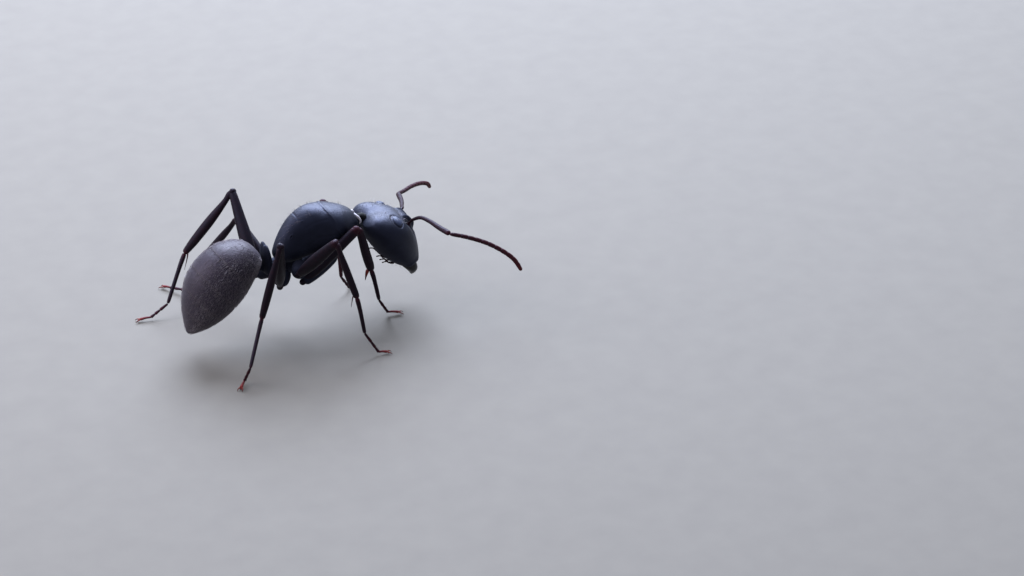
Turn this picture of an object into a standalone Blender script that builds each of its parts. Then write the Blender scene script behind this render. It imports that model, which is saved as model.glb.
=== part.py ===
"""A black carpenter ant worker at life size, standing in mid-stride.

Every length below is in millimetres and is turned into metres when a mesh is made.
The ant's own frame has +X towards the head, +Y to its left side and +Z up, with
the floor at zero.  The body stands on the flats under its six feet.
"""
import bpy
import bmesh
from math import asin, cos, pi, radians, sin, sqrt
from mathutils import Vector

MM = 0.001

# ---- driving dimensions -----------------------------------------------------------
GAP = 0.03                # clear space between two neighbouring solids
BODY_SIDES = 28           # corners round a body section
LIMB_SIDES = 10           # corners round a leg or feeler

NECK = Vector((2.54, 0, 4.13))        # where the head hangs on the thorax
THORAX_PITCH = 17.2                   # degrees, nose up
CROWN = Vector((2.81, 0, 4.25))       # rear end of the head's own axis
HEAD_LENGTH = 3.02                    # crown to the front edge of the clypeus
HEAD_PITCH = 56.1                     # degrees, nose down
HEAD_START = 0.08                     # where the head's solid begins on that axis
HEAD_SQUARENESS = 2.3                 # 2 is an oval section, more is squarer
THORAX_SQUARENESS = 2.2
GASTER_FRONT = Vector((-1.61, 0, 3.29))
GASTER_PITCH = 39.2                   # degrees, tip down
GASTER_SQUARENESS = 2.05
PETIOLE_BASE = Vector((-1.22, 0, 2.72))
PETIOLE_LEAN = 0.05                   # backward lean of the scale per unit of height

MANDIBLE_LENGTH = 0.62
MANDIBLE_WIDTH = 0.66                 # at the root, from the middle line outwards
MANDIBLE_DEPTH = 0.27                 # half thickness at the root
EYE_LENGTH = 0.38
EYE_SPREAD = 0.54                     # radians of the head's section that it covers
EYE_TILT = 0.08                       # its upper end is this much nearer the neck
EYE_RISE = 0.12
EYE_STATION = 0.77                    # middle of the eye along the head's axis
EYE_ANGLE = 0.85                      # and round the head's section, in radians

NECK_WIDE = 0.14          # half thickness of the neck
FOOT_HEIGHT = 0.22        # centre line of a foot above the floor
LIMB = 0.26               # half thickness of the long leg parts
FEELER = 0.245            # half thickness of the feelers
ELBOW_CUT = 0.32          # the funiculus starts this far past the middle of the elbow
SHARP_BEND = 62           # degrees; a joint bent more than this is not mitred
KNEE_CLEARANCE = 0.05     # between the two leg parts at such a joint

# Lengths of femur, tibia, basitarsus, middle of the foot and last foot length.
LEG_LENGTHS = {
    "front": (2.88, 2.18, 1.38, 0.87, 0.60),
    "middle": (2.85, 2.50, 1.60, 0.97, 0.50),
    "hind": (3.40, 3.20, 2.10, 0.80, 0.60),
}

# For each leg: the root on the thorax, the hip, the compass bearing of the five
# lengths (0 is straight ahead, + is to the left) and the rise of the first three.
LEG_POSES = {
    "right_front": ((1.36, -0.46, 3.15), (-0.12, -0.79, 2.41),
                    (-10, 20.5, -27, 27.5, -17), (41.5, -69.5, -78.5)),
    "right_middle": ((-0.02, -0.52, 3.02), (-0.42, -1.10, 2.94),
                     (-65, -18.5, -29, -13.5, -12), (46.5, -72.5, -80.5)),
    "right_hind": ((-0.68, -0.30, 2.84), (-0.98, -0.62, 2.34),
                   (-109, 149, -128.5, 102.5, -129.5), (55.5, -75, -33.5)),
    "left_front": ((1.34, 0.46, 3.18), (0.36, 0.64, 1.90),
                   (26, -17.5, 51, 34, 62.5), (58.5, -75.5, -79)),
    "left_middle": ((0.24, 0.42, 2.98), (-0.55, 0.76, 1.95),
                    (104, 123.5, 204, 122, 126), (31.5, -50.5, -49.5)),
    "left_hind": ((-0.50, 0.28, 2.86), (-1.35, 0.85, 2.20),
                  (88, 162, 215, 179, 166.5), (47, -51.5, -50)),
}

# Feelers: the scape from its socket to the elbow, then the funiculus to its tip.
FEELER_COURSES = {
    "right": (((4.61, -0.60, 3.84), (4.80, -1.05, 4.14), (4.91, -1.62, 4.23),
               (5.00, -2.30, 4.26), (5.12, -2.95, 4.29)),
              ((5.12, -2.95, 4.29), (5.90, -2.95, 3.93), (6.70, -2.95, 3.48),
               (7.40, -3.00, 2.95), (7.85, -3.03, 2.48), (8.13, -3.07, 1.97))),
    "left": (((4.77, 0.72, 3.68), (5.02, 1.18, 3.50), (5.33, 1.90, 3.32),
              (5.63, 2.85, 3.12)),
             ((5.63, 2.85, 3.12), (6.05, 3.25, 2.95), (6.65, 3.80, 2.76),
              (7.30, 4.35, 2.48), (7.80, 4.75, 2.15), (8.02, 4.98, 1.83))),
}

# Body outlines.  Each row is a station along the part's axis with the height of its
# upper outline, the height of its lower outline and its half width there.
THORAX_OUTLINE = (
    (0.00, 0.34, -0.20, 0.30), (0.25, 0.76, -0.36, 0.63), (0.70, 1.13, -0.42, 0.91),
    (1.20, 1.45, -0.38, 0.90), (1.78, 1.62, -0.36, 0.75), (2.40, 1.50, -0.34, 0.63),
    (2.86, 1.20, -0.28, 0.54), (3.22, 0.84, -0.16, 0.45), (3.54, 0.44, 0.02, 0.28),
)
HEAD_OUTLINE = (
    (0.00, 0.16, -0.16, 0.50), (0.12, 0.42, -0.34, 0.88), (0.40, 0.74, -0.46, 1.12),
    (0.80, 1.04, -0.50, 1.24), (1.25, 1.20, -0.53, 1.25), (1.70, 1.20, -0.53, 1.18),
    (2.15, 1.07, -0.48, 1.06), (2.60, 0.86, -0.37, 0.91), (3.02, 0.62, -0.22, 0.74),
)
GASTER_OUTLINE = (
    (-0.34, 0.82, 0.24, 0.32), (-0.20, 1.12, 0.06, 0.60), (0.12, 1.47, -0.10, 0.88),
    (0.60, 1.76, -0.24, 1.08), (1.30, 1.88, -0.42, 1.20), (2.05, 1.77, -0.46, 1.17),
    (2.70, 1.43, -0.40, 1.00), (3.25, 0.96, -0.28, 0.72), (3.60, 0.50, -0.14, 0.40),
    (3.80, 0.16, 0.00, 0.12),
)
# The petiole from its foot up: height, half thickness and half width.
PETIOLE_OUTLINE = (
    (0.00, 0.16, 0.30), (0.22, 0.22, 0.42), (0.66, 0.20, 0.47), (1.06, 0.14, 0.42),
    (1.30, 0.08, 0.26),
)
# Thickness of each leg part at its root, middle and end, as a share of LIMB.
LEG_SWELL = {"coxa": (1.22, 1.23, 0.98), "femur": (0.95, 1.08, 0.98),
             "tibia": (0.95, 1.00, 0.95), "basitarsus": (0.95, 0.93, 0.93)}
FOOT_SHARE = 0.93
# The eye's dome: share of its half length and the lift over the head at each ring.
EYE_RINGS = ((1.00, GAP), (1.00, GAP + 0.03), (0.80, GAP + 0.07), (0.45, GAP + 0.085))
# The thorax and gaster are parted at these stations, counted as above, into a solid
# with so many sections each.
THORAX_PARTS = (("pronotum", 0.00, 1.15, 6), ("mesonotum", 1.15, 2.20, 5),
                ("propodeum", 2.20, 3.54, 7))
GASTER_PARTS = (("gaster_1", -0.34, 0.72, 6), ("gaster_2", 0.72, 1.72, 4),
                ("gaster_3", 1.72, 2.52, 4), ("gaster_4", 2.52, 3.14, 4),
                ("gaster_5", 3.14, 3.80, 5))

BLACK = (0.010, 0.010, 0.014)
GREY_BLACK = (0.030, 0.027, 0.034)
LEG_BROWN = (0.022, 0.012, 0.012)
RUST = (0.120, 0.035, 0.020)


# ---- small tools --------------------------------------------------------------------
def clear_scene():
    for item in list(bpy.data.objects):
        bpy.data.objects.remove(item, do_unlink=True)


def add_solid(name, rings, colour, tip=None):
    """Join rings of corners into one closed solid, its far end flat or drawn to a tip."""
    shape = bmesh.new()
    rows = [[shape.verts.new(Vector(corner) * MM) for corner in ring] for ring in rings]
    sides = len(rows[0])
    for row, following in zip(rows, rows[1:]):
        for i in range(sides):
            j = (i + 1) % sides
            shape.faces.new((row[i], row[j], following[j], following[i]))
    shape.faces.new(rows[0])
    if tip is None:
        shape.faces.new(rows[-1])
    else:
        point = shape.verts.new(Vector(tip) * MM)
        for i in range(sides):
            shape.faces.new((rows[-1][i], rows[-1][(i + 1) % sides], point))
    bmesh.ops.recalc_face_normals(shape, faces=shape.faces)
    bmesh.ops.triangulate(shape, faces=[face for face in shape.faces if len(face.verts) > 4])
    mesh = bpy.data.meshes.new(name)
    shape.to_mesh(mesh)
    shape.free()
    mesh.shade_smooth()
    mesh.set_sharp_from_angle(angle=radians(50))
    finish = bpy.data.materials.new(name + "_cuticle")
    finish.use_nodes = True
    shader = finish.node_tree.nodes["Principled BSDF"]
    shader.inputs["Base Color"].default_value = (*colour, 1)
    shader.inputs["Roughness"].default_value = 0.35
    mesh.materials.append(finish)
    solid = bpy.data.objects.new(name, mesh)
    bpy.context.scene.collection.objects.link(solid)
    return solid


def smooth_row(rows, station):
    """Read a table of outline rows at any station along a smooth curve."""
    last = len(rows) - 1
    k = max(i for i in range(last) if rows[i][0] <= station or i == 0)
    t = min(max((station - rows[k][0]) / (rows[k + 1][0] - rows[k][0]), 0), 1)
    values = []
    for column in range(1, len(rows[0])):
        before, after = rows[max(k - 1, 0)], rows[min(k + 2, last)]
        here, there = rows[k], rows[k + 1]
        span = there[0] - here[0]
        slope_here = (there[column] - before[column]) / (there[0] - before[0])
        slope_there = (after[column] - here[column]) / (after[0] - here[0])
        a = (2 * t**3 - 3 * t**2 + 1) * here[column] + (3 * t**2 - 2 * t**3) * there[column]
        b = (t**3 - 2 * t**2 + t) * slope_here + (t**3 - t**2) * slope_there
        values.append(a + b * span)
    return values


class Axis:
    """A straight body axis in the ant's mirror plane, with its own up direction."""

    def __init__(self, start, pitch, heading):
        self.start = Vector(start)
        self.along = Vector((heading * cos(radians(pitch)), 0, -sin(radians(pitch))))
        self.up = Vector((heading * sin(radians(pitch)), 0, cos(radians(pitch))))

    def point(self, station, side, height):
        return self.start + self.along * station + self.up * height + Vector((0, side, 0))


THORAX = Axis(NECK, THORAX_PITCH, -1)
HEAD = Axis(CROWN, HEAD_PITCH, 1)
GASTER = Axis(GASTER_FRONT, GASTER_PITCH, -1)


def section(axis, outline, station, squareness):
    """One closed section of the body: an oval, squarer as squareness grows past 2."""
    top, bottom, half_width = smooth_row(outline, station)
    middle, half_height = (top + bottom) / 2, (top - bottom) / 2
    ring = []
    for i in range(BODY_SIDES):
        angle = 2 * pi * i / BODY_SIDES
        c, s = cos(angle), sin(angle)
        side = half_width * abs(c) ** (2 / squareness) * (1 if c > 0 else -1)
        height = half_height * abs(s) ** (2 / squareness) * (1 if s > 0 else -1)
        ring.append(axis.point(station, side, middle + height))
    return ring


def body_length(name, axis, outline, start, end, count, colour, squareness):
    """A length of the body between two stations, short of each by half a gap."""
    first, last = start + GAP / 2, end - GAP / 2
    stations = [first + (last - first) * i / (count - 1) for i in range(count)]
    rings = [section(axis, outline, station, squareness) for station in stations]
    return add_solid(name, rings, colour)


# ---- legs and feelers ---------------------------------------------------------------
def ring_on_plane(centre, along, radius, plane_point, plane_normal, sides=LIMB_SIDES):
    """A limb's round section slid along the limb until it lies in the given plane."""
    across = along.cross(Vector((0, 0, 1)))
    if across.length < 0.05:
        across = along.cross(Vector((1, 0, 0)))
    across.normalize()
    upward = across.cross(along).normalized()
    ring = []
    for i in range(sides):
        angle = 2 * pi * i / sides
        corner = centre + (across * cos(angle) + upward * sin(angle)) * radius
        slide = (plane_point - corner).dot(plane_normal) / along.dot(plane_normal)
        ring.append(corner + along * slide)
    return ring


def limb_rings(points, radii, start_plane, end_plane):
    """Rings along a bent limb.  Each plane is a point and a direction, or None."""
    rings = []
    for i, (point, radius) in enumerate(zip(points, radii)):
        back = points[max(i - 1, 0)]
        ahead = points[min(i + 1, len(points) - 1)]
        along = (ahead - back).normalized()
        plane = (point, along)
        if i == 0 and start_plane:
            plane = start_plane
        if i == len(points) - 1 and end_plane:
            plane = end_plane
        rings.append(ring_on_plane(point, along, radius, *plane))
    return rings


def joint_planes(joint, before, after, radius):
    """The two cut planes at a joint.

    A gentle bend is mitred.  At a sharp bend the first length runs on to a rounded
    end, and the second one starts on its flank.
    """
    turn = before.angle(after)
    if turn < radians(SHARP_BEND):
        normal = (before + after).normalized()
        return ((joint - normal * GAP / 2, normal), (joint + normal * GAP / 2, normal))
    flank = (after - before * after.dot(before)).normalized()
    return (None, (joint + flank * (radius + KNEE_CLEARANCE), flank))


def round_end(rings, point, along, radius):
    """Carry a limb past its joint with a rounded end, and give the end's tip."""
    for share in (0.45, 0.85):
        size = radius * sqrt(1 - share * share)
        centre = point + along * radius * share
        rings.append(ring_on_plane(centre, along, size, centre, along))
    return point + along * radius * 0.985


def leg_joints(name):
    """The joints of one leg from hip to toe, worked out from its lengths and pose."""
    root, hip, bearings, rises = LEG_POSES[name]
    lengths = LEG_LENGTHS[name.split("_")[1]]
    joints = [Vector(root), Vector(hip)]
    for i, (length, bearing) in enumerate(zip(lengths, bearings)):
        here = joints[-1]
        if i < len(rises):
            rise = radians(rises[i])
        else:
            rise = asin(max(-0.99, (FOOT_HEIGHT - here.z) / length))
        level = length * cos(rise)
        step = Vector((level * cos(radians(bearing)), level * sin(radians(bearing)),
                       length * sin(rise)))
        joints.append(here + step)
    return joints


def build_leg(name):
    joints = leg_joints(name)
    ways = [(b - a).normalized() for a, b in zip(joints, joints[1:])]
    starts = [None]
    ends = []
    for joint, before, after in zip(joints[1:-2], ways, ways[1:-1]):
        end_plane, start_plane = joint_planes(joint, before, after, LIMB)
        ends.append(end_plane)
        starts.append(start_plane)

    for i, (part, swell) in enumerate(LEG_SWELL.items()):
        a, b = joints[i], joints[i + 1]
        points = [a, (a + b) / 2, b]
        radii = [LIMB * share for share in swell]
        rings = limb_rings(points, radii, starts[i], ends[i])
        tip = None
        if ends[i] is None:
            tip = round_end(rings, b, ways[i], radii[-1])
        add_solid(name + "_" + part, rings, LEG_BROWN, tip=tip)

    heel, bend, toe = joints[4:]
    down, level = ways[4:]
    thick = LIMB * FOOT_SHARE
    foot = [ring_on_plane(heel, down, thick, *(starts[4] or (heel, down))),
            ring_on_plane(bend, level, thick, bend, (down + level).normalized()),
            ring_on_plane(toe, level, thick, toe, level)]
    flat = [[(corner.x, corner.y, max(corner.z, 0)) for corner in ring] for ring in foot]
    add_solid(name + "_tarsus", flat, RUST)


def course(points, count):
    """A smooth course through the given points, read at even steps."""
    rows = [(i, *point) for i, point in enumerate(points)]
    steps = [(len(points) - 1) * i / (count - 1) for i in range(count)]
    return [Vector(smooth_row(rows, step)) for step in steps]


def moved_along(point, towards, distance):
    return point + (towards - point).normalized() * distance


def build_feeler(side):
    scape, funiculus = FEELER_COURSES[side]
    points = course(scape, 7)
    rings = limb_rings(points, [FEELER] * 7, None, None)
    tip = round_end(rings, points[-1], (points[-1] - points[-2]).normalized(), FEELER)
    add_solid("antenna_" + side + "_scape", rings, BLACK, tip=tip)

    points = course(funiculus, 9)
    base, outer = points[:5], points[4:]
    base[0] = moved_along(base[0], base[1], ELBOW_CUT)
    base[-1] = moved_along(base[-1], base[-2], GAP)
    rings = limb_rings(base, [FEELER] * 5, None, None)
    add_solid("antenna_" + side + "_funiculus_base", rings, LEG_BROWN)
    rings = limb_rings(outer, [FEELER] * 5, None, None)
    tip = round_end(rings, outer[-1], (outer[-1] - outer[-2]).normalized(), FEELER)
    add_solid("antenna_" + side + "_funiculus_tip", rings, LEG_BROWN, tip=tip)


# ---- head pieces --------------------------------------------------------------------
def head_surface(station, angle, lift=0.0):
    """A point on the head's skin, angle counted from its right side over the top."""
    top, bottom, half_width = smooth_row(HEAD_OUTLINE, station)
    middle, half_height = (top + bottom) / 2, (top - bottom) / 2
    share = 2 / HEAD_SQUARENESS
    side = (half_width + lift) * abs(cos(angle)) ** share
    height = (half_height + lift) * abs(sin(angle)) ** share * (1 if sin(angle) > 0 else -1)
    return HEAD.point(station, -side, middle + height)


def build_eye(side):
    """A low dome that follows the head's skin, on the right or mirrored to the left."""
    mirror = -1 if side == "left" else 1
    rings = []
    for share, lift in EYE_RINGS:
        ring = []
        for i in range(14):
            turn = 2 * pi * i / 14
            station = EYE_STATION + share * (EYE_LENGTH / 2 * cos(turn) - EYE_TILT * sin(turn))
            angle = EYE_ANGLE + EYE_SPREAD / 2 * share * sin(turn)
            point = head_surface(station, angle, lift)
            ring.append((point.x, mirror * point.y, point.z))
        rings.append(ring)
    point = head_surface(EYE_STATION, EYE_ANGLE, GAP + EYE_RISE)
    add_solid("eye_" + side, rings, BLACK, tip=(point.x, mirror * point.y, point.z))


def build_mandible(side):
    """A curved, tapering jaw that ends near the middle line under the clypeus."""
    mirror = -1 if side == "left" else 1
    rings = []
    for i in range(5):
        share = i / 4
        station = HEAD_LENGTH + GAP + MANDIBLE_LENGTH * share
        outer = MANDIBLE_WIDTH * (1 - share**2.2) + 0.16 * share
        inner = GAP / 2
        depth = MANDIBLE_DEPTH * (1 - 0.62 * share)
        height = 0.10 - 0.06 * share
        ring = []
        for k in range(10):
            angle = 2 * pi * k / 10
            side_place = (outer + inner) / 2 + (outer - inner) / 2 * cos(angle)
            place = HEAD.point(station, -side_place * mirror, height + depth * sin(angle))
            ring.append(place)
        rings.append(ring)
    add_solid("mandible_" + side, rings, RUST)


def build_body():
    body_length("head", HEAD, HEAD_OUTLINE, HEAD_START, HEAD_LENGTH, 13, BLACK,
                HEAD_SQUARENESS)
    for name, start, end, count in THORAX_PARTS:
        body_length(name, THORAX, THORAX_OUTLINE, start, end, count, BLACK,
                    THORAX_SQUARENESS)
    for name, start, end, count in GASTER_PARTS:
        body_length(name, GASTER, GASTER_OUTLINE, start, end, count, GREY_BLACK,
                    GASTER_SQUARENESS)


def build_neck():
    """The short stalk between the thorax and the back of the head."""
    way = (HEAD.along - THORAX.along).normalized()
    middle = (THORAX.point(0, 0, 0.13) + HEAD.point(0, 0, -0.06)) / 2
    rings = [ring_on_plane(middle, way, NECK_WIDE, THORAX.point(-GAP, 0, 0), THORAX.along, 12),
             ring_on_plane(middle, way, NECK_WIDE, HEAD.point(HEAD_START - GAP, 0, 0),
                           HEAD.along, 12)]
    add_solid("neck", rings, BLACK)


def build_petiole():
    """The upright scale on the waist, thick at its foot and thin at its rounded top."""
    rings = []
    for height, half_thickness, half_width in PETIOLE_OUTLINE:
        ring = []
        for i in range(16):
            angle = 2 * pi * i / 16
            forward = half_thickness * cos(angle) - PETIOLE_LEAN * height
            ring.append(PETIOLE_BASE + Vector((forward, half_width * sin(angle), height)))
        rings.append(ring)
    add_solid("petiole", rings, BLACK)


def set_on_origin():
    """Move every solid so that the whole ant is centred over the origin."""
    corners = [item.matrix_world @ vertex.co for item in bpy.data.objects
               for vertex in item.data.vertices]
    low = Vector([min(corner[axis] for corner in corners) for axis in range(3)])
    high = Vector([max(corner[axis] for corner in corners) for axis in range(3)])
    shift = Vector((-round((low.x + high.x) / 2, 5), -round((low.y + high.y) / 2, 5), 0))
    for item in bpy.data.objects:
        for vertex in item.data.vertices:
            vertex.co += shift
    return shift


clear_scene()
build_body()
build_neck()
build_petiole()
for hand in ("right", "left"):
    build_eye(hand)
    build_mandible(hand)
    build_feeler(hand)
for leg in LEG_POSES:
    build_leg(leg)
origin_shift = set_on_origin()
print("the ant was moved onto its origin by", origin_shift)
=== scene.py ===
# A black carpenter ant worker at life size, standing in mid-stride on a plain floor.
# Sizes are in millimetres in the ant's own frame (+X ahead, +Y to its left, +Z up from
# the floor) and become metres when a piece is made.
from math import asin, cos, pi, radians, sin

import bmesh
import bpy
import numpy as np
from mathutils import Matrix, Vector


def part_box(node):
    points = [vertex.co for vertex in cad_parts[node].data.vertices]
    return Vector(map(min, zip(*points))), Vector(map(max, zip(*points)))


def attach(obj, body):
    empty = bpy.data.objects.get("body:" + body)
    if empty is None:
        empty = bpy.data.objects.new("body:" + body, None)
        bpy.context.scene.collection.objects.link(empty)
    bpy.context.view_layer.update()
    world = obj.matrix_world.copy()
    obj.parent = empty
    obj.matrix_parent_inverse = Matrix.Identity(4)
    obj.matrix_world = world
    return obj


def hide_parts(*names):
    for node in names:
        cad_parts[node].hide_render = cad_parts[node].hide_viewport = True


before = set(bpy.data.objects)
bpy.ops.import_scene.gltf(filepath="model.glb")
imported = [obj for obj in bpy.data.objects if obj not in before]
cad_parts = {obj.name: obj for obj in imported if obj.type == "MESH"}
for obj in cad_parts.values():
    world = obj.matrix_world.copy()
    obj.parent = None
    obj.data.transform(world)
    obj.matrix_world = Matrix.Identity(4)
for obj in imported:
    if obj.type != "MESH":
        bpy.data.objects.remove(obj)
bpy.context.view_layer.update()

MM = 0.001

# ---- Where the ant stands ------------------------------------------------------------
# The zero of the ant's own frame, found from the CAD box of the scale on its waist,
# whose middle is 1.23 behind that zero.
WAIST_X = -1.23
waist_low, waist_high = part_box("petiole")
waist = (waist_low + waist_high) / 2 / MM
ZERO = Vector((waist.x - WAIST_X, waist.y, 0))

# ---- Camera, floor and light ---------------------------------------------------------
# A long lens looks down on the ant from its right side, a little from behind.  The
# floor is matt pale card, and the light a large soft box behind it and a pale dome.
VIEW_TURN, VIEW_DROP = radians(-26.9), radians(30.1)
AIM = Vector((8.72, -1.10, 0))
DISTANCE = 113.3
back = Vector((sin(VIEW_TURN) * cos(VIEW_DROP), -cos(VIEW_TURN) * cos(VIEW_DROP),
               sin(VIEW_DROP)))
across = Vector((cos(VIEW_TURN), sin(VIEW_TURN), 0))
lens = bpy.data.cameras.new("camera")
lens.lens = 100
lens.sensor_width = 36
lens.clip_start = 0.001
lens.clip_end = 20
camera = bpy.data.objects.new("camera", lens)
bpy.context.scene.collection.objects.link(camera)
turn = Matrix((across, back.cross(across), back)).transposed()
camera.matrix_world = Matrix.Translation((AIM + ZERO + back * DISTANCE) * MM) @ turn.to_4x4()
bpy.context.scene.camera = camera


def srgb(code):
    """A colour written as #rrggbb, as the linear values that shaders take."""
    parts = [int(code[i:i + 2], 16) / 255 for i in (1, 3, 5)]
    return (*[c / 12.92 if c <= 0.04045 else ((c + 0.055) / 1.055) ** 2.4 for c in parts], 1)


def add_node(tree, kind, inputs=None, **settings):
    """Add one node.  An input given as a socket is linked, any other is set."""
    made = tree.nodes.new(kind)
    for setting, value in settings.items():
        setattr(made, setting, value)
    for key, value in (inputs or {}).items():
        if isinstance(value, bpy.types.NodeSocket):
            tree.links.new(value, made.inputs[key])
        else:
            made.inputs[key].default_value = value
    return made


def new_finish(name, looks):
    """A material with these shader inputs, its node tree, shader and object coordinates."""
    finish = bpy.data.materials.new(name)
    finish.use_nodes = True
    tree = finish.node_tree
    shader = tree.nodes["Principled BSDF"]
    for key, value in looks.items():
        shader.inputs[key].default_value = value
    where = add_node(tree, "ShaderNodeTexCoord").outputs["Object"]
    return finish, tree, shader, where


def noise(tree, where, size, detail=2):
    """Cloudy noise with patches about this size, in millimetres."""
    return add_node(tree, "ShaderNodeTexNoise", {"Vector": where, "Scale": 1 / (size * MM),
                                                 "Detail": detail}).outputs["Fac"]


def ramp(tree, value, *stops):
    """A colour from each (position, colour) of the stops, smooth between them."""
    made = add_node(tree, "ShaderNodeValToRGB", {"Fac": value})
    elements = made.color_ramp.elements
    for element, (position, code) in zip((elements[0], elements[-1]), (stops[0], stops[-1])):
        element.position, element.color = position, srgb(code)
    for position, code in stops[1:-1]:
        elements.new(position).color = srgb(code)
    return made.outputs["Color"]


def spread(tree, value, low, high):
    """A value of 0 to 1 as one of low to high."""
    return add_node(tree, "ShaderNodeMapRange", {"Value": value, "To Min": low,
                                                 "To Max": high}).outputs["Result"]


def cells(tree, where, size):
    """The distance from the outlines of cells about this size, in millimetres."""
    return add_node(tree, "ShaderNodeTexVoronoi", {"Vector": where, "Scale": 1 / (size * MM)},
                    feature="DISTANCE_TO_EDGE").outputs["Distance"]


def tones(tree):
    """The tones that mark() writes on the points of a piece."""
    return add_node(tree, "ShaderNodeAttribute", attribute_name="tone").outputs["Fac"]


def blend(tree, share, first, second):
    """A colour between two; sockets 6, 7 and 2 of a mix node are for colours."""
    return add_node(tree, "ShaderNodeMix", {"Factor": share, 6: first, 7: second},
                    data_type="RGBA").outputs[2]


def roughen(tree, shader, height, strength, depth):
    """Press a pattern of heights, this many millimetres deep, over those there already."""
    relief = add_node(tree, "ShaderNodeBump", {"Height": height, "Strength": strength,
                                               "Distance": depth * MM})
    for link in list(shader.inputs["Normal"].links):
        tree.links.new(link.from_socket, relief.inputs["Normal"])
    tree.links.new(relief.outputs["Normal"], shader.inputs["Normal"])


card, tree, shader, where = new_finish("matt_pale_card", {"Roughness": 0.9})
fibre = noise(tree, where, 1 / 0.9, 4)
tree.links.new(blend(tree, fibre, srgb("#605b55"), srgb("#68635c")),
               shader.inputs["Base Color"])
floor_shape = bmesh.new()
bmesh.ops.create_grid(floor_shape, x_segments=1, y_segments=1, size=3)
floor_mesh = bpy.data.meshes.new("floor")
floor_shape.to_mesh(floor_mesh)
floor_shape.free()
floor_mesh.materials.append(card)
floor = bpy.data.objects.new("floor", floor_mesh)
bpy.context.scene.collection.objects.link(floor)


def soft_box(name, place, size, watts, colour):
    """A square area light that faces the middle of the ant."""
    light = bpy.data.lights.new(name, "AREA")
    light.size = size * MM
    light.energy = watts
    light.color = colour
    made = bpy.data.objects.new(name, light)
    made.location = (Vector(place) + ZERO) * MM
    towards = Vector((0, 0, 2)) - Vector(place)
    made.rotation_euler = towards.to_track_quat("-Z", "Y").to_euler()
    bpy.context.scene.collection.objects.link(made)


soft_box("soft_box_behind", (38, 80, 92), 110, 0.86, (0.70, 0.80, 1.0))
soft_box("soft_box_left", (-100, 40, 70), 90, 0.18, (0.92, 0.90, 1.0))
world = bpy.data.worlds.new("pale_dome")
world.use_nodes = True
world.node_tree.nodes["Background"].inputs["Color"].default_value = (0.80, 0.86, 1.0, 1)
world.node_tree.nodes["Background"].inputs["Strength"].default_value = 0.60
bpy.context.scene.world = world
bpy.context.scene.view_settings.view_transform = "Standard"

# ---- Head capsule --------------------------------------------------------------------
# One hard shell of black chitin, heart-shaped from the front, with a raised shield over
# the mouth, two ridges between the feelers, the feelers' sockets and two rear lobes.
# Grown in one piece: a thin, tough skin, satin, netted with fine cell outlines.
CROWN, HEAD_PITCH = (2.81, 0, 4.25), 56.1
HEAD_START, HEAD_END = 0.04, 3.02
HEAD_SQUARENESS = 2.3
HEAD_ROWS = (
    (0.00, 0.16, -0.16, 0.50), (0.12, 0.42, -0.34, 0.88), (0.40, 0.74, -0.46, 1.12),
    (0.80, 1.04, -0.50, 1.24), (1.25, 1.20, -0.53, 1.25), (1.70, 1.20, -0.53, 1.18),
    (2.15, 1.07, -0.47, 1.05), (2.60, 0.86, -0.33, 0.87), (3.02, 0.62, -0.15, 0.66),
)
SKIN_DEPTH = 0.02         # the real skin lies this far inside the CAD solids


def read_rows(rows, stations):
    """The columns of a table at any stations, along smooth curves."""
    rows = np.array(rows, float)
    at, columns = rows[:, 0], rows[:, 1:]
    last = len(at) - 1
    before = np.maximum(np.arange(last + 1) - 1, 0)
    after = np.minimum(np.arange(last + 1) + 1, last)
    slopes = (columns[after] - columns[before]) / (at[after] - at[before])[:, None]
    stations = np.clip(np.asarray(stations, float), at[0], at[-1])
    k = np.clip(np.searchsorted(at, stations, side="right") - 1, 0, last - 1)
    span = (at[k + 1] - at[k])[:, None]
    t = (stations - at[k])[:, None] / span
    value = (2 * t**3 - 3 * t**2 + 1) * columns[k] + (3 * t**2 - 2 * t**3) * columns[k + 1]
    bend = (t**3 - 2 * t**2 + t) * slopes[k] + (t**3 - t**2) * slopes[k + 1]
    return value + bend * span


class Trunk:
    """A length of the body: an axis in the mirror plane with a table of outline rows."""

    def __init__(self, start, pitch, heading, rows, squareness):
        lean = radians(pitch)
        self.start = np.array(start, float)
        self.ahead = np.array((heading * cos(lean), 0, -sin(lean)))
        self.up = np.array((heading * sin(lean), 0, cos(lean)))
        self.rows, self.squareness = rows, squareness

    def point(self, station, side, height):
        station, side, height = np.broadcast_arrays(station, side, height)
        flat = station[..., None] * self.ahead + height[..., None] * self.up
        return self.start + flat + side[..., None] * np.array((0, 1, 0))

    def skin(self, station, angle, scale=1.0):
        """Points on the skin; the angle runs from the left side over the top."""
        top, bottom, half = read_rows(self.rows, station).T
        middle, tall = (top + bottom) / 2, (top - bottom) / 2 - SKIN_DEPTH
        share = 2 / self.squareness
        c, s = np.cos(angle), np.sin(angle)
        side = (half - SKIN_DEPTH) * scale * np.abs(c) ** share * np.sign(c)
        height = middle + tall * scale * np.abs(s) ** share * np.sign(s)
        return self.point(station, side, height)

    def normal(self, station, angle):
        step = 0.01
        a = self.skin(station + step, angle) - self.skin(station - step, angle)
        b = self.skin(station, angle + step) - self.skin(station, angle - step)
        out = np.cross(a, b)
        out /= np.linalg.norm(out, axis=1)[:, None]
        middle = self.point(station, 0, read_rows(self.rows, station)[:, :2].mean(1))
        inward = np.sum(out * (self.skin(station, angle) - middle), axis=1) < 0
        out[inward] *= -1
        return out


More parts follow.
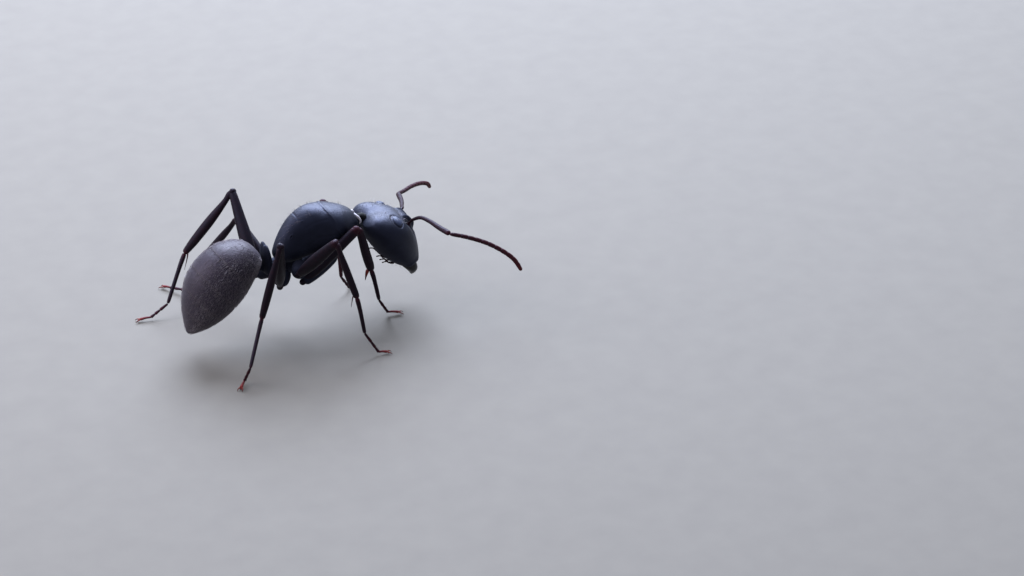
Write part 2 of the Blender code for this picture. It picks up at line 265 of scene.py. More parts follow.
def add_ball(bm, across, along, place):
    """Add a closed ball, move each point to place(share, angle) and face it outward."""
    if not bm.verts.layers.float:
        bm.verts.layers.float.new("tone")
    filled = bm.calc_volume(signed=True)
    balls = bmesh.ops.create_uvsphere(bm, u_segments=across, v_segments=along, radius=1)
    start = np.array([vertex.co for vertex in balls["verts"]])
    share = np.arccos(np.clip(-start[:, 2], -1, 1)) / pi
    angle = np.arctan2(start[:, 1], start[:, 0])
    for vertex, point in zip(balls["verts"], place(share, angle)):
        vertex.co = point
    if bm.calc_volume(signed=True) < filled:
        faces = {face for vertex in balls["verts"] for face in vertex.link_faces}
        bmesh.ops.reverse_faces(bm, faces=list(faces))
    return balls["verts"], share, angle


def lift_skin(bm, verts, heights):
    """Raise or sink each point along the skin's own normal."""
    bm.normal_update()
    moves = [vertex.normal * float(height) for vertex, height in zip(verts, heights)]
    for vertex, move in zip(verts, moves):
        vertex.co += move


def mark(bm, verts, values):
    """Write the tones, one for each point or one for all, for the finish to read."""
    layer = bm.verts.layers.float["tone"]
    for vertex, value in zip(verts, np.broadcast_to(values, len(verts))):
        vertex[layer] = float(value)


def make_piece(bm, name, finish):
    """Turn a bmesh in the ant's millimetres into a smooth object in metres."""
    if bm.calc_volume(signed=True) < 0:
        bmesh.ops.reverse_faces(bm, faces=bm.faces)
    mesh = bpy.data.meshes.new(name)
    bm.to_mesh(mesh)
    bm.free()
    mesh.transform(Matrix.Translation(ZERO * MM) @ Matrix.Scale(MM, 4))
    mesh.shade_smooth()
    mesh.materials.append(finish)
    made = bpy.data.objects.new(name, mesh)
    bpy.context.scene.collection.objects.link(made)
    return made


def hill(x, width):
    """A smooth hill of height 1 at x = 0."""
    return np.exp(-(x / width) ** 2)


def slope(x, low, high):
    """0 below low, 1 above high, smooth between."""
    t = np.clip((x - low) / (high - low), 0, 1)
    return t * t * (3 - 2 * t)


def round_ends(share, first, last):
    """The half thickness of a rod with round ends, as a share of its own."""
    a, b = np.clip(share / first, 0, 1), np.clip((1 - share) / last, 0, 1)
    return np.sqrt(1 - (1 - a) ** 2) * np.sqrt(1 - (1 - b) ** 2)


HEAD = Trunk(CROWN, HEAD_PITCH, 1, HEAD_ROWS, HEAD_SQUARENESS)
EYE_STATION, EYE_ANGLE, EYE_TILT = 0.75, 0.87, 0.08
SHIELD_START = 1.98
SOCKET_STATION, SOCKET_SIDE, SOCKET_DEPTH = 1.50, 0.52, 0.15


def head_place(share, angle):
    station = HEAD_START + (HEAD_END - HEAD_START) * (1 - np.cos(pi * share)) / 2
    return HEAD.skin(station, angle, round_ends(share, 0.10, 0.08))


head = bmesh.new()
verts, share, angle = add_ball(head, 208, 176, head_place)
place = np.array([vertex.co for vertex in verts])
away = place - HEAD.start
station, side = away @ HEAD.ahead, place[:, 1]
off = np.abs(side)
face = slope(np.sin(angle), 0.0, 0.25)
under = slope(-np.sin(angle), 0.0, 0.25)
# The shield over the mouth widens towards the jaws; its rim is a fine furrow.
down_face = np.clip((station - SHIELD_START) / (HEAD_END - SHIELD_START), 0, 1)
shield_edge = 0.33 + 0.33 * down_face ** 1.3
inside = np.minimum(shield_edge - off, (station - 1.96) * 0.8)
shield = (0.030 * slope(inside, 0.0, 0.09) - 0.030 * hill(inside, 0.022)) * face
keel = 0.022 * hill(off, 0.05) * slope(station, 2.0, 2.3) * face
# The two ridges between the feelers, bowed outwards, hide the sockets' inner rims.
ridge_line = 0.20 + 0.15 * np.sin(np.clip((2.0 - station) / 0.85, 0, 1) * 2.0)
ridges = 0.10 * hill(off - ridge_line, 0.055) + 0.085 * slope(ridge_line - off, -0.05, 0.05)
ridges *= slope(station, 0.95, 1.30) * (1 - slope(station, 1.62, 2.02)) * face
from_socket = np.hypot((station - SOCKET_STATION) / 1.5, off - SOCKET_SIDE)
sockets = -SOCKET_DEPTH * hill(from_socket, 0.085) * face
brow = -0.085 * hill(off - 0.60, 0.14) * slope(station, 1.0, 1.3)
brow *= (1 - slope(station, 1.9, 2.1)) * face
seam = -0.014 * hill(off, 0.020) * slope(station, 0.8, 1.0) * face
seam *= 1 - slope(station, 1.85, 1.95)
wedge = -0.02 * slope(0.12 - off - (SHIELD_START - station) * 0.9, 0, 0.04) * face
wedge *= slope(station, 1.82, 1.90) * (1 - slope(station, 1.94, 2.0))
# Rear lobes with a hollow between them, and the dimple where the neck goes in.
lobes = -0.10 * hill(off, 0.36) * hill(station - 0.10, 0.30)
lobes += 0.02 * hill(off - 0.78, 0.25) * hill(station - 0.25, 0.25)
# A shallow moat round each eye.
above = (pi / 2 - np.abs(angle - pi / 2) - EYE_ANGLE) / 0.29
eye_way = np.hypot((station - EYE_STATION + EYE_TILT * above) / 0.20, above)
moat = -0.028 * hill(eye_way - 1.06, 0.15) * face + 0.015 * slope(1.0 - eye_way, 0, 0.3) * face
# The underside has a middle seam and the trough that holds the mouth parts.
gula = -0.015 * hill(off, 0.025) * under
trough = -0.10 * slope(0.36 - off, 0, 0.12) * slope(station, 2.25, 2.55) * under
cheek = 0.03 * hill(station - 2.86, 0.10) * slope(off, 0.55, 0.68)
lift_skin(head, verts, shield + keel + ridges + sockets + brow + seam + wedge + lobes
          + moat + gula + trough + cheek)
mark(head, verts, np.maximum(slope(0.30 - np.sin(angle), 0.0, 0.7),
                             0.08 + 0.9 * slope(ridges, 0.02, 0.08)))

# Chitin, grown and hardened, black with a sheen, duller where its tone is marked:
# on undersides, ridges, hips and waist.  The sheen's cold blue comes partly from the bluish
# lamps and is partly painted: a blue tint on the reflections stands in for a blue sky.
# The net of cell outlines is 0.02 across in life and drawn 0.045 across.
black_chitin, tree, shader, where = new_finish(
    "black_chitin", {"IOR": 1.40, "Specular Tint": srgb("#c4cbff")})
clouds = noise(tree, where, 0.5, 5)
tree.links.new(ramp(tree, clouds, (0.35, "#0a0b11"), (0.70, "#14161f")),
               shader.inputs["Base Color"])
worn = add_node(tree, "ShaderNodeMath",
                {0: tones(tree), 1: 0.42, 2: spread(tree, clouds, 0.38, 0.52)},
                operation="MULTIPLY_ADD", use_clamp=True)
tree.links.new(worn.outputs["Value"], shader.inputs["Roughness"])
mesh_lines = add_node(tree, "ShaderNodeMapRange", {"Value": cells(tree, where, 0.045),
                                                   "From Max": 0.12})
roughen(tree, shader, mesh_lines.outputs["Result"], 0.35, 0.004)
roughen(tree, shader, clouds, 0.5, 0.03)
capsule = make_piece(head, "head_capsule", black_chitin)
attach(capsule, "root")
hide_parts("head")

# ---- Eyes ----------------------------------------------------------------------------
# Low oval domes of some hundreds of lenses, set in a shallow moat high on the sides of
# the head.  Clear chitin over dark pigment: matt from its lenses, and bluish grey.
# The lenses are 0.02 across in life and drawn 0.034 across.
EYE_HALF_LENGTH, EYE_HALF_SPREAD, EYE_RISE, LENS = 0.165, 0.24, 0.072, 0.034
eye_chitin, tree, shader, where = new_finish(
    "lensed_eye_chitin", {"Roughness": 0.50, "IOR": 1.42, "Specular Tint": srgb("#d5dcf5")})
tree.links.new(ramp(tree, noise(tree, where, 0.15), (0, "#1f2333"), (1, "#343a52")),
               shader.inputs["Base Color"])
ROW_STEP = 0.866          # rows of a six-sided net lie this share of a lens apart
for hand, mirror in (("right", 1), ("left", -1)):
    eye = bmesh.new()
    dome = bmesh.ops.create_icosphere(eye, subdivisions=6, radius=1)["verts"]
    u, v, rise = np.array([vertex.co for vertex in dome]).T
    row = np.round(v * EYE_HALF_LENGTH / LENS / ROW_STEP)
    step = u * EYE_HALF_LENGTH / LENS + 0.5 * (row % 2)
    over = v * EYE_HALF_LENGTH / LENS - row * ROW_STEP
    spot = (step - np.round(step)) ** 2 + over ** 2
    bulge = 0.003 * np.clip(1 - spot / 0.30, 0, 1) * (rise > 0.05)
    at = EYE_STATION + EYE_HALF_LENGTH * u - EYE_TILT * v
    turned = pi - EYE_ANGLE - EYE_HALF_SPREAD * v
    points = HEAD.skin(at, turned)
    points += HEAD.normal(at, turned) * (EYE_RISE * rise + bulge - 0.005)[:, None]
    points[:, 1] *= mirror
    for vertex, point in zip(dome, points):
        vertex.co = point
    piece = make_piece(eye, hand + "_eye_dome", eye_chitin)
    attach(piece, "root")
    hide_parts("eye_" + hand)

# ---- Jaws ----------------------------------------------------------------------------
# A pair of three-cornered blades that close on each other under the shield, each with
# five teeth along its inner edge.  Thick, hard chitin, polished by use, rusty at the teeth.
JAW_START, JAW_LENGTH, TEETH = 2.86, 0.77, 5
jaw_chitin, tree, shader, where = new_finish("polished_jaw_chitin", {"IOR": 1.38})
streaks = noise(tree, where, 0.10, 4)
amount = add_node(tree, "ShaderNodeMath", {0: tones(tree), 1: streaks},
                  operation="MULTIPLY")
tree.links.new(ramp(tree, amount.outputs["Value"], (0, "#08080c"), (1, "#5a231b")),
               shader.inputs["Base Color"])
tree.links.new(spread(tree, streaks, 0.30, 0.46), shader.inputs["Roughness"])
roughen(tree, shader, streaks, 0.4, 0.010)
for hand, mirror in (("right", -1), ("left", 1)):

    def jaw_place(share, angle):
        outer = 0.57 * (1 - share ** 3.0) + 0.17 * share
        bite = slope(share, 0.32, 0.42)
        tooth = np.abs(np.sin((share - 0.36) / 0.64 * TEETH * pi)) ** 0.7
        inner = 0.10 + 0.04 * (1 - bite) - bite * 0.07 * tooth * (0.6 + 0.4 * share)
        thick = 0.27 * (1 - 0.48 * share ** 1.5) * round_ends(share, 0.06, 0.16)
        middle, reach = (outer + inner) / 2, (outer - inner) / 2
        blade = np.abs(np.sin(angle)) ** 0.9 * np.sign(np.sin(angle))
        side = middle + reach * np.cos(angle) * round_ends(share, 0.04, 0.08)
        bow = 0.05 * np.sin(pi * share)
        return HEAD.point(JAW_START + JAW_LENGTH * share, side * mirror,
                          0.11 - 0.08 * share + bow + thick * blade)

    jaw = bmesh.new()
    verts, share, angle = add_ball(jaw, 56, 100, jaw_place)
    mark(jaw, verts, slope(-np.cos(angle), -0.2, 0.8) * slope(share, 0.25, 0.6))
    piece = make_piece(jaw, hand + "_jaw", jaw_chitin)
    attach(piece, "root")
    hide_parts("mandible_" + hand)

# ---- Mouth feelers -------------------------------------------------------------------
# Two long and two short jointed palps hang from the trough under the head and lie back
# along it.  Thin brown chitin tubes, each joint a little waist, netted like the head: the
# net is 0.02 across in life and drawn 0.04 across.
limb_chitin, tree, shader, where = new_finish(
    "brown_black_limb_chitin",
    {"IOR": 1.36, "Specular IOR Level": 0.26, "Specular Tint": srgb("#ccccf8")})
streaks = noise(tree, where, 0.12, 4)
amount = add_node(tree, "ShaderNodeMath",
                  {0: tones(tree), 1: spread(tree, streaks, -0.12, 0.12)},
                  operation="ADD", use_clamp=True)
tree.links.new(ramp(tree, amount.outputs["Value"], (0, "#0f0b10"), (0.45, "#371014"),
                    (1, "#7e2c1c")), shader.inputs["Base Color"])
tree.links.new(spread(tree, streaks, 0.44, 0.66), shader.inputs["Roughness"])
roughen(tree, shader, cells(tree, where, 0.04), 0.3, 0.010)


def on_course(course, share):
    """Points and directions at shares of the length of a smooth course."""
    course = np.array(course, float)
    legs = np.linalg.norm(np.diff(course, axis=0), axis=1)
    rows = np.column_stack([np.concatenate([[0], np.cumsum(legs)]) / legs.sum(), course])
    step = 0.004
    ahead = (read_rows(rows, np.clip(share + step, 0, 1))
             - read_rows(rows, np.clip(share - step, 0, 1)))
    return read_rows(rows, share), ahead / np.linalg.norm(ahead, axis=1)[:, None]


def cross_ways(ahead, hint):
    """Two directions across a limb, the second as near the hint as it can be."""
    beside = np.cross(ahead, hint)
    beside /= np.linalg.norm(beside, axis=1)[:, None]
    return beside, np.cross(beside, ahead)


def course_length(course):
    return float(np.linalg.norm(np.diff(np.array(course, float), axis=0), axis=1).sum())


def limb_skin(course, rows, hint, share, angle, ends=1.0):
    """Points on a limb and the ways out of it and ahead along it.

    Each row is a share of its length with the half thickness across and along the hint.
    """
    middle, ahead = on_course(course, share)
    beside, upward = cross_ways(ahead, hint)
    wide, tall = read_rows(rows, share).T
    out = (beside * (wide * ends * np.cos(angle))[:, None]
           + upward * (tall * ends * np.sin(angle))[:, None])
    return middle + out, out / (np.linalg.norm(out, axis=1)[:, None] + 1e-9), ahead


def add_limb(bm, course, rows, around, along, hint=(0, 0, 1), joints=(), waist=0.3, tone=0):
    """Add a limb with round ends along a course, with a narrow waist at each joint.

    Its tone is one number, or a function of the share of its length.
    """
    length = course_length(course)

    def limb_place(share, angle):
        ends = round_ends(share, rows[0][1] / length, rows[-1][1] / length)
        for joint in joints:
            ends = ends * (1 - waist * hill((share - joint) * length, 0.022))
        return limb_skin(course, rows, hint, share, angle, ends)[0]

    verts, share, angle = add_ball(bm, around, along, limb_place)
    mark(bm, verts, tone(share) if callable(tone) else tone)


PALPS = (((2.62, 0.20, -0.32), (2.38, 0.27, -0.46), (2.05, 0.31, -0.50), (1.80, 0.34, -0.54),
          (1.66, 0.37, -0.68)),
         ((2.66, 0.08, -0.30), (2.50, 0.10, -0.44), (2.36, 0.11, -0.52), (2.26, 0.13, -0.66)))
palps = bmesh.new()
for mirror in (1, -1):
    for course in PALPS:
        points = [HEAD.point(s, mirror * side, height) for s, side, height in course]
        add_limb(palps, points, ((0, 0.034, 0.034), (1, 0.024, 0.024)), 10, 60,
                 joints=(0.22, 0.42, 0.62, 0.82), waist=0.35, tone=lambda t: 0.18 + 0.25 * t)
piece = make_piece(palps, "mouth_palps", limb_chitin)
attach(piece, "root")

# ---- Feelers -------------------------------------------------------------------------
# Each has a long first joint, the scape, that turns in the socket on a ball, and a whip
# of eleven short joints.  Chitin tubes under fine down, dark at the root, browner ahead.
COMBED = []               # limbs that carry down: course, rows, hint and hair count
FEELERS = {
    "right": (((4.50, -0.47, 3.58), (4.56, -0.52, 3.72), (4.66, -0.66, 3.90),
               (4.80, -1.05, 4.14), (4.91, -1.62, 4.23), (5.00, -2.30, 4.26),
               (5.12, -2.95, 4.29)),
              ((5.12, -2.97, 4.29), (5.90, -2.95, 3.93), (6.70, -2.95, 3.48),
               (7.40, -3.00, 2.95), (7.85, -3.03, 2.48), (8.13, -3.07, 1.97))),
    "left": (((4.52, 0.44, 3.58), (4.60, 0.49, 3.70), (4.83, 0.74, 3.69), (5.02, 1.18, 3.50),
              (5.33, 1.90, 3.32), (5.63, 2.85, 3.12)),
             ((5.63, 2.87, 3.12), (6.05, 3.25, 2.95), (6.65, 3.80, 2.76),
              (7.30, 4.35, 2.48), (7.80, 4.75, 2.15), (8.02, 4.98, 1.83))),
}
SCAPE_ROWS = ((0, 0.085, 0.085), (0.03, 0.090, 0.090), (0.06, 0.050, 0.050),
              (0.12, 0.060, 0.060), (0.5, 0.085, 0.085), (0.9, 0.108, 0.108),
              (1, 0.100, 0.100))
WHIP_ROWS = ((0, 0.060, 0.060), (0.06, 0.078, 0.078), (0.5, 0.086, 0.086),
             (0.9, 0.088, 0.088), (1, 0.070, 0.070))
WHIP_JOINTS = (0.13, 0.215, 0.30, 0.385, 0.47, 0.555, 0.64, 0.725, 0.81, 0.895)
for hand, (scape_course, whip_course) in FEELERS.items():
    scape = bmesh.new()
    add_limb(scape, scape_course, SCAPE_ROWS, 24, 96,
             tone=lambda t: 0.10 + 0.20 * hill(t - 1, 0.04) + 0.1 * hill(t, 0.05))
    COMBED.append((scape_course, SCAPE_ROWS, (0, 0, 1), 260))
    COMBED.append((whip_course, WHIP_ROWS, (0, 0, 1), 620))
    piece = make_piece(scape, hand + "_scape", limb_chitin)
    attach(piece, "root")
    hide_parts("antenna_%s_scape" % hand)
    whip = bmesh.new()
    add_limb(whip, whip_course, WHIP_ROWS, 20, 220, joints=WHIP_JOINTS, waist=0.34,
             tone=lambda t: 0.22 + 0.30 * t)
    piece = make_piece(whip, hand + "_whip", limb_chitin)
    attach(piece, "root")
    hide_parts("antenna_%s_funiculus_base" % hand, "antenna_%s_funiculus_tip" % hand)

# ---- Middle body ---------------------------------------------------------------------
# The mesosoma carries the legs: front shield, middle shield and rear shield, grown
# together along fine furrows, arched in one even curve.  The same black chitin as the
# head, with a raised collar at the neck and a slit breathing hole on each side.
NECK, THORAX_PITCH = (2.54, 0, 4.13), 17.2
THORAX_ROWS = (
    (0.00, 0.34, -0.12, 0.26), (0.25, 0.76, -0.31, 0.58), (0.70, 1.13, -0.42, 0.90),
    (1.20, 1.45, -0.38, 0.90), (1.78, 1.62, -0.36, 0.75), (2.40, 1.50, -0.34, 0.63),
    (2.86, 1.20, -0.28, 0.54), (3.22, 0.84, -0.16, 0.45), (3.54, 0.44, 0.02, 0.28),
)
THORAX_LENGTH = 3.54
THORAX = Trunk(NECK, THORAX_PITCH, -1, THORAX_ROWS, 2.2)


def thorax_place(share, angle):
    station = THORAX_LENGTH * (1 - np.cos(pi * share)) / 2
    return THORAX.skin(station, angle, round_ends(share, 0.05, 0.10))


thorax = bmesh.new()
verts, share, angle = add_ball(thorax, 192, 224, thorax_place)
station = THORAX_LENGTH * (1 - np.cos(pi * share)) / 2
tilt = np.sin(angle)
# The furrow behind the front shield runs down each side and turns forward at its foot.
shield_rows = ((-1.0, 0.20), (-0.55, 0.48), (-0.10, 0.98), (0.15, 1.12), (0.50, 1.06),
               (1.0, 1.15))
front_edge = read_rows(shield_rows, tilt)[:, 0]
past = station - front_edge
side_fade = 0.35 + 0.65 * slope(tilt, 0.75, 0.97)
furrow = -0.030 * hill(past, 0.024) * side_fade
furrow -= 0.014 * slope(past, 0, 0.05) * (1 - slope(past, 0.1, 0.5))
furrow += 0.014 * hill(past + 0.07, 0.05)
middle_edge = 2.20 - 0.16 * (1 - tilt) * slope(-tilt, -1, 0.6)
back_seam = -0.022 * hill(station - middle_edge, 0.030) * slope(tilt, -0.75, -0.5) * side_fade
roof_line = 0.60 - 0.12 * (station - 1.2)
side_seam = -0.008 * hill(tilt - roof_line, 0.035) * slope(station, 1.12, 1.22)
side_seam *= 1 - slope(station, 2.02, 2.12)
flank_line = -0.18 + 0.10 * np.sin((station - 1.0) * 2.2)
flank = -0.010 * hill(tilt - flank_line, 0.04) * slope(station, 1.05, 1.2)
flank *= 1 - slope(station, 3.0, 3.3)
flank += 0.060 * hill(tilt + 0.55, 0.30) * hill(station - 1.50, 0.50)
collar = 0.03 * hill(station - 0.10, 0.10) * slope(tilt, -0.6, 0.0)
slit = np.hypot((station - 2.72) / 0.075, (tilt - 0.60) / 0.045)
breath = 0.022 * hill(slit - 1.15, 0.35) - 0.050 * hill(slit, 0.65)
breath_2 = np.hypot((station - 2.12) / 0.05, (tilt - 0.76) / 0.03)
breath += 0.014 * hill(breath_2 - 1.15, 0.4) - 0.030 * hill(breath_2, 0.65)
lift_skin(thorax, verts, furrow + back_seam + side_seam + flank + collar + breath)
mark(thorax, verts, np.maximum(slope(-tilt, 0.1, 0.7), 0.35 * slope(station, 0.9, 2.2)))
middle_body = piece = make_piece(thorax, "middle_body_shields", black_chitin)
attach(piece, "root")
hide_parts("pronotum", "mesonotum", "propodeum")

# The front rim of the shield, bare and thin where it laps over the soft neck, carries a
# near-white band: a painted highlight along that edge.
painted_highlight_chitin, tree, shader, where = new_finish("painted_highlight_rim_chitin", {"Roughness": 0.4})
tree.links.new(ramp(tree, noise(tree, where, 0.08), (0, "#a39aa2"), (1, "#e6dfe6")),
               shader.inputs["Base Color"])
rim_shape = bmesh.new()
round_way = np.linspace(-0.75, pi + 0.75, 33)
rim_course = THORAX.point(0.09 - 0.15 * np.abs(np.cos(round_way)) ** 1.5,
                          0.31 * np.cos(round_way), 0.09 + 0.29 * np.sin(round_way))
add_limb(rim_shape, rim_course, ((0, 0.012, 0.012), (0.12, 0.042, 0.042),
                                 (0.88, 0.042, 0.042), (1, 0.012, 0.012)), 10, 120,
         hint=tuple(THORAX.ahead))
piece = make_piece(rim_shape, "front_shield_painted_highlight", painted_highlight_chitin)
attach(piece, "root")

# The neck is a short stalk of folded soft skin between two small plates, dull and dark.
neck_skin, tree, shader, where = new_finish(
    "dark_soft_neck_skin", {"Base Color": srgb("#08080b"), "Roughness": 0.75, "IOR": 1.30})
roughen(tree, shader, noise(tree, where, 0.06), 0.5, 0.01)
neck = bmesh.new()
course = [THORAX.point(0.10, 0, 0.06), THORAX.point(-0.06, 0, 0.06),
          HEAD.point(0.02, 0, -0.06), HEAD.point(0.22, 0, -0.02)]
add_limb(neck, course, ((0, 0.24, 0.20), (0.5, 0.15, 0.14), (1, 0.26, 0.20)), 32, 48,
         joints=(0.30, 0.42, 0.54, 0.66), waist=0.10)
piece = make_piece(neck, "neck_stalk", neck_skin)
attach(piece, "root")
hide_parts("neck")

# ---- Waist ---------------------------------------------------------------------------
# One upright scale, thick at its foot and sharp and slightly notched at its crest, held
# between the middle and the hind body by two short necks.  Black chitin.
SCALE_FOOT = (-1.22, 0, 2.72)
SCALE_ROWS = ((0.00, 0.14, 0.28), (0.22, 0.20, 0.40), (0.66, 0.18, 0.45), (1.06, 0.12, 0.40),
              (1.29, 0.06, 0.25))
SCALE_TALL, SCALE_LEAN = 1.29, 0.05


def scale_place(share, angle):
    height = SCALE_TALL * (1 - np.cos(pi * share)) / 2
    thick, wide = read_rows(SCALE_ROWS, height).T
    ends = round_ends(share, 0.14, 0.16)
    side = wide * ends * np.sin(angle)
    notch = 0.07 * hill(side, 0.10) * slope(height, 0.75, 1.0)
    point = np.column_stack([thick * ends * np.cos(angle) - SCALE_LEAN * height, side,
                             height - notch])
    return point + SCALE_FOOT


waist_bm = bmesh.new()
add_ball(waist_bm, 72, 72, scale_place)
for course, thick in ((((-0.86, 0, 3.02), (-1.00, 0, 2.96), (-1.22, 0, 2.93)), 0.17),
                      (((-1.25, 0, 2.92), (-1.45, 0, 2.98), (-1.72, 0, 3.12)), 0.15)):
    add_limb(waist_bm, course, ((0, thick, thick), (0.5, thick * 0.85, thick * 0.85),
                                (1, thick, thick)), 28, 40, joints=(0.45, 0.6), waist=0.12)
mark(waist_bm, waist_bm.verts, 0.8)
piece = make_piece(waist_bm, "waist_scale", black_chitin)
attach(piece, "root")
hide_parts("petiole")

# ---- Hind body -----------------------------------------------------------------------
# The gaster: five ring plates that slide into one another, each back rim lying over the
# next, in an upper and a lower half that meet along the flank.  Thin grey-black chitin,
# dull with down, its rims paler where the chitin is thinnest.
GASTER_FRONT, GASTER_PITCH = (-1.61, 0, 3.29), 39.2
GASTER_ROWS = (
    (-0.34, 0.82, 0.24, 0.32), (-0.20, 1.12, 0.06, 0.60), (0.12, 1.47, -0.10, 0.88),
    (0.60, 1.76, -0.24, 1.08), (1.30, 1.88, -0.42, 1.20), (2.05, 1.77, -0.46, 1.17),
    (2.70, 1.42, -0.39, 0.99), (3.25, 0.91, -0.24, 0.67), (3.60, 0.43, -0.08, 0.36),
    (3.80, 0.16, 0.02, 0.12),
)
GASTER = Trunk(GASTER_FRONT, GASTER_PITCH, -1, GASTER_ROWS, 2.05)
RINGS = ((-0.33, 0.76), (0.76, 1.76), (1.76, 2.55), (2.55, 3.16), (3.16, 3.79))
TUCK = 0.16               # how far each plate reaches under the one before it
grey_chitin, tree, shader, where = new_finish(
    "dull_grey_black_chitin",
    {"IOR": 1.37, "Specular Tint": srgb("#c4b8c4"), "Sheen Weight": 0.12,
     "Sheen Roughness": 0.35, "Sheen Tint": srgb("#c9c2c4")})
# The grain runs tailwards: the pattern is turned to the hind body's slope and drawn out.
turned = add_node(tree, "ShaderNodeMapping",
                  {"Vector": where, "Rotation": (0, radians(-GASTER_PITCH), 0),
                   "Scale": (1 / (0.30 * MM), 1 / (0.05 * MM), 1 / (0.05 * MM))})
grain = add_node(tree, "ShaderNodeTexNoise", {"Vector": turned.outputs["Vector"],
                                              "Scale": 1.0, "Detail": 4})
shade = ramp(tree, grain.outputs["Fac"], (0.32, "#1a1720"), (0.72, "#352e38"))
tree.links.new(blend(tree, tones(tree), shade, srgb("#4f443d")),
               shader.inputs["Base Color"])
tree.links.new(spread(tree, noise(tree, where, 0.7, 4), 0.42, 0.60), shader.inputs["Roughness"])
roughen(tree, shader, grain.outputs["Fac"], 0.6, 0.016)
for number, (front, rear) in enumerate(RINGS, 1):
    first, last = number == 1, number == len(RINGS)
    start = front if first else front - TUCK

    def ring_place(share, angle):
        station = start + (rear - start) * slope(share, 0.0, 0.97)
        station = station - (0.0 if last else 0.09) * slope(share, 0.972, 1.0)
        scale = round_ends(share, 0.16 if first else 0.05, 0.16 if last else 0.03)
        under = 0.022 * (1 - slope(station, front - 0.01, front + 0.30)) * (not first)
        return GASTER.skin(station, angle, scale * (1 - under))

    ring = bmesh.new()
    verts, share, angle = add_ball(ring, 144, 88, ring_place)
    station = start + (rear - start) * slope(share, 0.0, 0.97)
    tilt = np.sin(angle)
    flank = -0.010 * slope(-tilt, 0.30, 0.36) - 0.012 * hill(tilt + 0.33, 0.03)
    lift_skin(ring, verts, flank)
    mark(ring, verts, hill(station - rear, 0.050) * 0.16 * (not last))
    piece = make_piece(ring, "hind_body_ring_%d" % number, grey_chitin)
    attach(piece, "root")
    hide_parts("gaster_%d" % number)

# ---- Legs ----------------------------------------------------------------------------
# Each leg hangs from the middle body by its hip cone, then a small turning ring, thigh,
# shin, a long first foot joint, three short ones and a last one with two claws.  Chitin
# tubes, brown-black, rusty at the knees and heels and orange at the claws.
FOOT_LEVEL = 0.22         # the CAD line of the foot above the floor
BEND_LEVEL, TOE_LEVEL = 0.15, 0.085
LEG_LENGTHS = {
    "front": (2.88, 2.18, 1.38, 0.87, 0.60),
    "middle": (2.85, 2.50, 1.60, 0.97, 0.50),
    "hind": (3.40, 3.20, 2.10, 0.80, 0.60),
}
# Root, hip, the compass bearings of the five lengths and the rises of the first three.
LEG_POSES = {
    "right_front": ((1.36, -0.46, 3.15), (-0.12, -0.79, 2.41),
                    (-10, 20.5, -27, 27.5, -17), (41.5, -69.5, -78.5)),
    "right_middle": ((-0.02, -0.52, 3.02), (-0.42, -1.10, 2.94),
                     (-65, -18.5, -29, -13.5, -12), (46.5, -72.5, -80.5)),
    "right_hind": ((-0.68, -0.30, 2.84), (-0.98, -0.62, 2.34),
                   (-109, 149, -128.5, 102.5, -129.5), (55.5, -75, -33.5)),
    "left_front": ((1.34, 0.46, 3.18), (0.36, 0.64, 1.90),
                   (26, -17.5, 51, 34, 62.5), (58.5, -75.5, -79)),
    "left_middle": ((0.24, 0.42, 2.98), (-0.55, 0.76, 1.95),
                    (104, 123.5, 204, 122, 126), (31.5, -50.5, -49.5)),
    "left_hind": ((-0.50, 0.28, 2.86), (-1.35, 0.85, 2.20),
                  (88, 162, 215, 179, 166.5), (47, -51.5, -50)),
}
# Half thickness of thigh, shin and first foot joint at shares of their lengths; the
# first figure is across the leg, where it is flatter, the second in its plane.
THIGH_ROWS = {
    "front": ((0, 0.09, 0.11), (0.07, 0.15, 0.18), (0.24, 0.195, 0.235), (0.48, 0.19, 0.245),
              (0.74, 0.17, 0.215), (0.92, 0.15, 0.205), (1, 0.14, 0.185)),
    "middle": ((0, 0.09, 0.11), (0.07, 0.14, 0.17), (0.24, 0.185, 0.225),
               (0.48, 0.185, 0.24), (0.74, 0.165, 0.21), (0.92, 0.145, 0.175),
               (1, 0.13, 0.145)),
    "hind": ((0, 0.08, 0.10), (0.06, 0.12, 0.15), (0.20, 0.185, 0.250), (0.42, 0.195, 0.275),
             (0.70, 0.165, 0.22), (0.92, 0.14, 0.170), (1, 0.12, 0.13)),
}
SHIN_ROWS = {
    "front": ((0, 0.12, 0.14), (0.06, 0.135, 0.165), (0.14, 0.120, 0.150),
              (0.45, 0.140, 0.175), (0.85, 0.140, 0.175), (1, 0.11, 0.13)),
    "middle": ((0, 0.10, 0.11), (0.06, 0.11, 0.125), (0.13, 0.095, 0.105),
               (0.45, 0.120, 0.145), (0.85, 0.120, 0.145), (1, 0.10, 0.12)),
    "hind": ((0, 0.10, 0.11), (0.05, 0.11, 0.13), (0.12, 0.10, 0.115),
             (0.45, 0.150, 0.190), (0.80, 0.145, 0.180), (1, 0.11, 0.12)),
}
SHIN_BOW = {"front": 0.11, "middle": 0.06, "hind": 0.02}    # how far it bends at the knee
HEEL_ROWS = ((0, 0.062, 0.070), (0.08, 0.080, 0.095), (0.4, 0.074, 0.084),
             (0.9, 0.068, 0.074), (1, 0.055, 0.055))
KNEE_RUST = {"front": 0.24, "middle": 0.11, "hind": 0.0}
# Half thickness, length down the leg and rust of the spur on each pair of legs.
SPURS = {"front": (0.085, 0.46, 0.9), "middle": (0.032, 0.60, 0.5), "hind": (0.032, 0.60, 0.5)}
KNEE_CAP = 0.15           # half the width of the rounded cap over the knee
CLAW_ROOM = 0.15          # the claws take up this much of the foot's length
CLAW_TIP = 0.014          # how high the middle of a claw's tip stands above the floor


